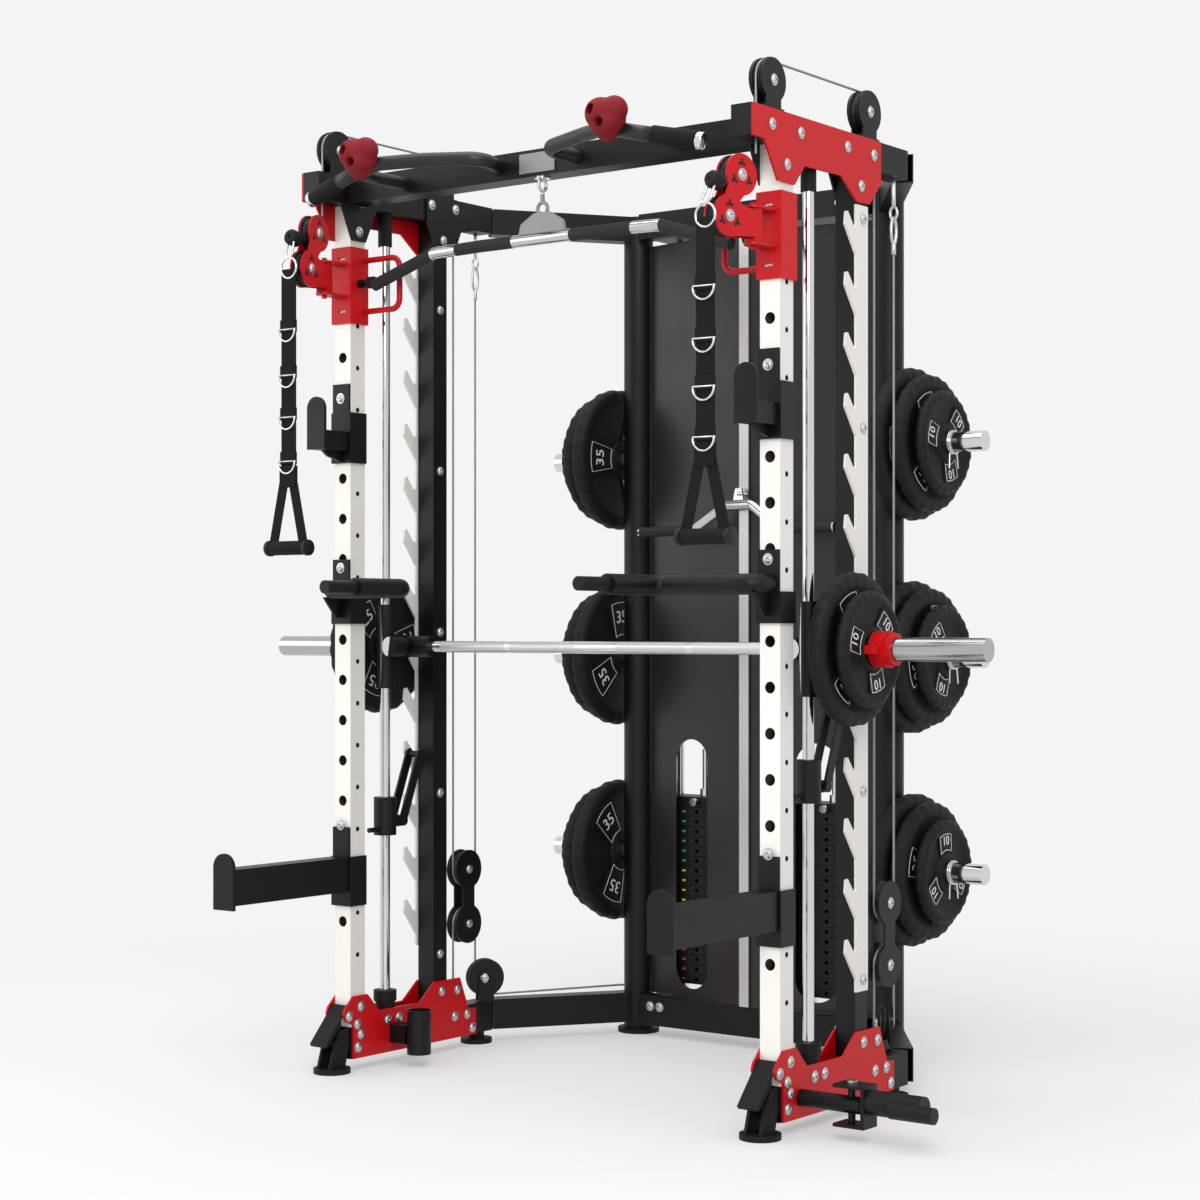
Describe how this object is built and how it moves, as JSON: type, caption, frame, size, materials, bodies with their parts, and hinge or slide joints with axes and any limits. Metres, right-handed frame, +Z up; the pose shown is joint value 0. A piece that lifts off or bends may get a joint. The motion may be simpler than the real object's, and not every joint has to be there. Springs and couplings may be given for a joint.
{
  "type": "smith machine",
  "caption": "All-in-one smith machine: barbell on guide rods between two side frames, cable towers, shrouded weight stacks and plate storage.",
  "frame": {"origin": "centre of the footprint on the floor", "axes": "+X along the bar, +Y from the user towards the weight stacks, +Z up"},
  "size_m": [2.008, 1.453, 2.2355],
  "materials": {
    "black_frame": "satin",
    "black_iron": "satin",
    "black_plastic": "matte",
    "black_rubber": "matte",
    "bright_aluminium": "brushed",
    "chrome": "polished",
    "ivory": "satin",
    "red_paint": "gloss",
    "red_resin": "matte",
    "shroud_grey": "satin",
    "webbing": "woven",
    "zinc": "satin"
  },
  "bodies": {
    "frame": {"base_gussets": "red_paint", "base_rails": "black_frame", "base_sockets": "black_frame", "cables": "zinc", "climbing_holds": "red_resin", "dip_handles": "black_frame", "feet": "black_rubber", "frame_bolts": "zinc", "front_uprights": "ivory", "guide_rods": "chrome", "horn_clips": "chrome", "j_hooks": "black_frame", "plate_horns": "chrome", "pull_up_bars": "black_frame", "pull_up_beam": "black_frame", "pulley_brackets": "black_frame", "rack_plates": "ivory", "rear_frame_lower": "black_frame", "rear_frame_upper": "black_frame", "rear_posts": "black_frame", "rear_uprights": "black_frame", "rod_sockets": "black_rubber", "shroud_strip": "bright_aluminium", "spotter_arms": "black_frame", "stack_plates": "black_iron", "stack_rods": "chrome", "stack_shroud": "shroud_grey", "stored_plates": "black_rubber", "stored_row_bar": "black_rubber", "top_gussets": "red_paint", "top_rails": "black_frame"},
    "carriages": {"smith_carriages": "black_frame"},
    "barbell": {"smith_bar": "chrome", "bar_hooks": "black_frame", "bar_plates": "black_rubber", "bar_collars": "red_paint"},
    "lat_bar": {"lat_bar": "black_rubber"},
    "landmine": {"landmine": "black_frame"},
    "safety_stop_right": {"safety_stop_right": "black_frame"},
    "trolley_right": {"trolley_right": "red_paint"},
    "swivel_right": {"swivel_right": "red_paint"},
    "swivel_pulley_upper_right": {"swivel_pulley_upper_right": "black_plastic"},
    "swivel_pulley_lower_right": {"swivel_pulley_lower_right": "black_plastic"},
    "strap_right": {"strap_right": "webbing"},
    "float_block_right": {"float_block_right": "black_frame"},
    "stack_head_right": {"stack_head_right": "black_iron"},
    "top_pulley_front_right": {"top_pulley_front_right": "black_plastic"},
    "top_pulley_rear_right": {"top_pulley_rear_right": "black_plastic"},
    "low_pulley_right": {"low_pulley_right": "black_plastic"},
    "safety_stop_left": {"safety_stop_left": "black_frame"},
    "trolley_left": {"trolley_left": "red_paint"},
    "swivel_left": {"swivel_left": "red_paint"},
    "swivel_pulley_upper_left": {"swivel_pulley_upper_left": "black_plastic"},
    "swivel_pulley_lower_left": {"swivel_pulley_lower_left": "black_plastic"},
    "strap_left": {"strap_left": "webbing"},
    "float_block_left": {"float_block_left": "black_frame"},
    "stack_head_left": {"stack_head_left": "black_iron"},
    "top_pulley_front_left": {"top_pulley_front_left": "black_plastic"},
    "top_pulley_rear_left": {"top_pulley_rear_left": "black_plastic"},
    "low_pulley_left": {"low_pulley_left": "black_plastic"}
  },
  "joints": [
    {"name": "barbell_lift", "type": "slide", "parent": "frame", "child": "carriages", "axis": [0, 0, 1], "range_m": [-0.12, 0.85]},
    {"name": "barbell_turn", "type": "hinge", "parent": "carriages", "child": "barbell", "pos_m": [0, -0.1265, 1.01], "axis": [1, 0, 0], "range_deg": [-80, 0]},
    {"name": "lat_bar_swing", "type": "hinge", "parent": "frame", "child": "lat_bar", "pos_m": [0, -0.3325, 2.029], "axis": [1, 0, 0], "range_deg": [-25, 4]},
    {"name": "landmine_turn", "type": "hinge", "parent": "frame", "child": "landmine", "pos_m": [0.761, -0.2635, 0.072], "axis": [0, 0, 1], "range_deg": [-50, 50]},
    {"name": "safety_stop_lift_right", "type": "slide", "parent": "frame", "child": "safety_stop_right", "axis": [0, 0, 1], "range_m": [-0.36, 0.1]},
    {"name": "trolley_lift_right", "type": "slide", "parent": "frame", "child": "trolley_right", "axis": [0, 0, 1], "range_m": [-0.12, 0.01]},
    {"name": "swivel_turn_right", "type": "hinge", "parent": "trolley_right", "child": "swivel_right", "pos_m": [0.607, -0.3985, 1.88], "axis": [0, 0, 1], "range_deg": [-75, 75]},
    {"name": "swivel_upper_spin_right", "type": "hinge", "parent": "swivel_right", "child": "swivel_pulley_upper_right", "pos_m": [0.59702, -0.44545, 1.98], "axis": [0.9781, -0.2079, 0], "continuous": true},
    {"name": "swivel_lower_spin_right", "type": "hinge", "parent": "swivel_right", "child": "swivel_pulley_lower_right", "pos_m": [0.58995, -0.47871, 1.893], "axis": [0.9781, -0.2079, 0], "continuous": true},
    {"name": "strap_swing_right", "type": "hinge", "parent": "swivel_right", "child": "strap_right", "pos_m": [0.593, -0.5155, 1.96], "axis": [1, 0, 0], "range_deg": [-30, 3]},
    {"name": "stack_lift_right", "type": "slide", "parent": "frame", "child": "stack_head_right", "axis": [0, 0, 1], "range_m": [0, 1]},
    {"name": "block_lift_right", "type": "slide", "parent": "frame", "child": "float_block_right", "axis": [0, 0, 1], "range_m": [0, 0.5], "deforming": ["cables"]},
    {"name": "top_front_spin_right", "type": "hinge", "parent": "frame", "child": "top_pulley_front_right", "pos_m": [0.6135, -0.3555, 2.188], "axis": [1, 0, 0], "continuous": true},
    {"name": "top_rear_spin_right", "type": "hinge", "parent": "frame", "child": "top_pulley_rear_right", "pos_m": [0.6135, 0.0315, 2.188], "axis": [1, 0, 0], "continuous": true},
    {"name": "low_spin_right", "type": "hinge", "parent": "frame", "child": "low_pulley_right", "pos_m": [0.585, 0.1655, 0.166], "axis": [-0.8208, -0.5713, 0], "continuous": true},
    {"name": "safety_stop_lift_left", "type": "slide", "parent": "frame", "child": "safety_stop_left", "axis": [0, 0, 1], "range_m": [-0.36, 0.22]},
    {"name": "trolley_lift_left", "type": "slide", "parent": "frame", "child": "trolley_left", "axis": [0, 0, 1], "range_m": [-0.12, 0.01]},
    {"name": "swivel_turn_left", "type": "hinge", "parent": "trolley_left", "child": "swivel_left", "pos_m": [-0.607, -0.3985, 1.88], "axis": [0, 0, 1], "range_deg": [-75, 75]},
    {"name": "swivel_upper_spin_left", "type": "hinge", "parent": "swivel_left", "child": "swivel_pulley_upper_left", "pos_m": [-0.59702, -0.44545, 1.98], "axis": [0.9781, 0.2079, 0], "continuous": true},
    {"name": "swivel_lower_spin_left", "type": "hinge", "parent": "swivel_left", "child": "swivel_pulley_lower_left", "pos_m": [-0.58995, -0.47871, 1.893], "axis": [0.9781, 0.2079, 0], "continuous": true},
    {"name": "strap_swing_left", "type": "hinge", "parent": "swivel_left", "child": "strap_left", "pos_m": [-0.593, -0.5155, 1.96], "axis": [1, 0, 0], "range_deg": [-30, 3]},
    {"name": "stack_lift_left", "type": "slide", "parent": "frame", "child": "stack_head_left", "axis": [0, 0, 1], "range_m": [0, 1]},
    {"name": "block_lift_left", "type": "slide", "parent": "frame", "child": "float_block_left", "axis": [0, 0, 1], "range_m": [0, 0.5], "deforming": ["cables"]},
    {"name": "top_front_spin_left", "type": "hinge", "parent": "frame", "child": "top_pulley_front_left", "pos_m": [-0.6135, -0.3555, 2.188], "axis": [1, 0, 0], "continuous": true},
    {"name": "top_rear_spin_left", "type": "hinge", "parent": "frame", "child": "top_pulley_rear_left", "pos_m": [-0.6135, 0.0315, 2.188], "axis": [1, 0, 0], "continuous": true},
    {"name": "low_spin_left", "type": "hinge", "parent": "frame", "child": "low_pulley_left", "pos_m": [-0.585, 0.1655, 0.166], "axis": [-0.8208, 0.5713, 0], "continuous": true}
  ],
  "couplings": [
    {"joint": "block_lift_right", "follows": "stack_lift_right", "ratio": 0.5},
    {"joint": "block_lift_left", "follows": "stack_lift_left", "ratio": 0.5}
  ]
}
